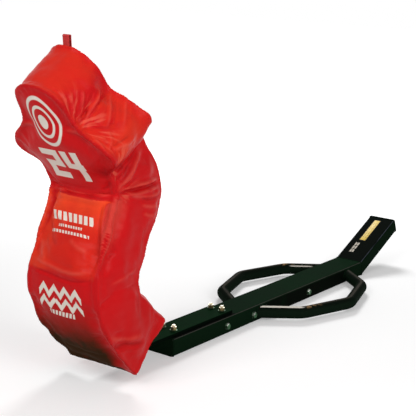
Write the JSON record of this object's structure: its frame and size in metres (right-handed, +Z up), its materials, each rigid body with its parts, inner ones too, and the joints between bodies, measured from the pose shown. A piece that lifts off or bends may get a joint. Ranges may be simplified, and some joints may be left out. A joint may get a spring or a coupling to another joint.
{
  "type": "tackle sled",
  "caption": "Tackle sled: a red man-shaped vinyl pad on a curved spring leaf, bolted to a low dark green steel beam with side loops and an upturned tail.",
  "frame": {"origin": "on the underside of the beam, in the middle of the length and width of its flat part, on the ground", "axes": "+Y along the beam towards the upturned tail, -Y towards the pad and the side that the pad is hit on, +X to the side of the bolt heads, +Z up"},
  "size_m": [0.5684, 2.3069, 1.1114],
  "materials": {
    "frame_paint": "satin",
    "spring_paint": "satin",
    "red_vinyl": "satin",
    "foam": "matte",
    "webbing": "matte",
    "zinc": "gloss"
  },
  "bodies": {
    "sled": {"main_beam": "frame_paint", "tail": "frame_paint", "front_end_cap": "frame_paint", "tail_end_cap": "frame_paint", "left_side_loop": "frame_paint", "right_side_loop": "frame_paint", "spring_leaf": "spring_paint", "clamp_plate_front": "zinc", "clamp_plate_rear": "zinc", "clamp_bolt_front_left": "zinc", "clamp_bolt_front_right": "zinc", "clamp_bolt_rear_left": "zinc", "clamp_bolt_rear_right": "zinc", "clamp_washer_front_left": "zinc", "clamp_washer_front_right": "zinc", "clamp_washer_rear_left": "zinc", "clamp_washer_rear_right": "zinc", "clamp_nut_front_left": "zinc", "clamp_nut_front_right": "zinc", "clamp_nut_rear_left": "zinc", "clamp_nut_rear_right": "zinc", "cross_bolt_front": "zinc", "cross_bolt_middle": "zinc", "cross_bolt_rear": "zinc", "cross_washer_front_near": "zinc", "cross_washer_front_far": "zinc", "cross_washer_middle_near": "zinc", "cross_washer_middle_far": "zinc", "cross_washer_rear_near": "zinc", "cross_washer_rear_far": "zinc", "cross_nut_front": "zinc", "cross_nut_middle": "zinc", "cross_nut_rear": "zinc", "cross_sleeve_front": "zinc", "cross_sleeve_middle": "zinc", "cross_sleeve_rear": "zinc"},
    "pad": {"foam_core": "foam", "pad_cover": "red_vinyl", "head_strap": "webbing"}
  },
  "joints": [
    {"name": "pad_recoil", "type": "hinge", "parent": "sled", "child": "pad", "pos_m": [0, -0.7855, 0.07015], "axis": [-1, 0, 0], "range_deg": [-4, 10], "stiffness_Nm_per_rad": 3600, "springref_deg": 0.92, "deforming": ["spring_leaf"]}
  ]
}
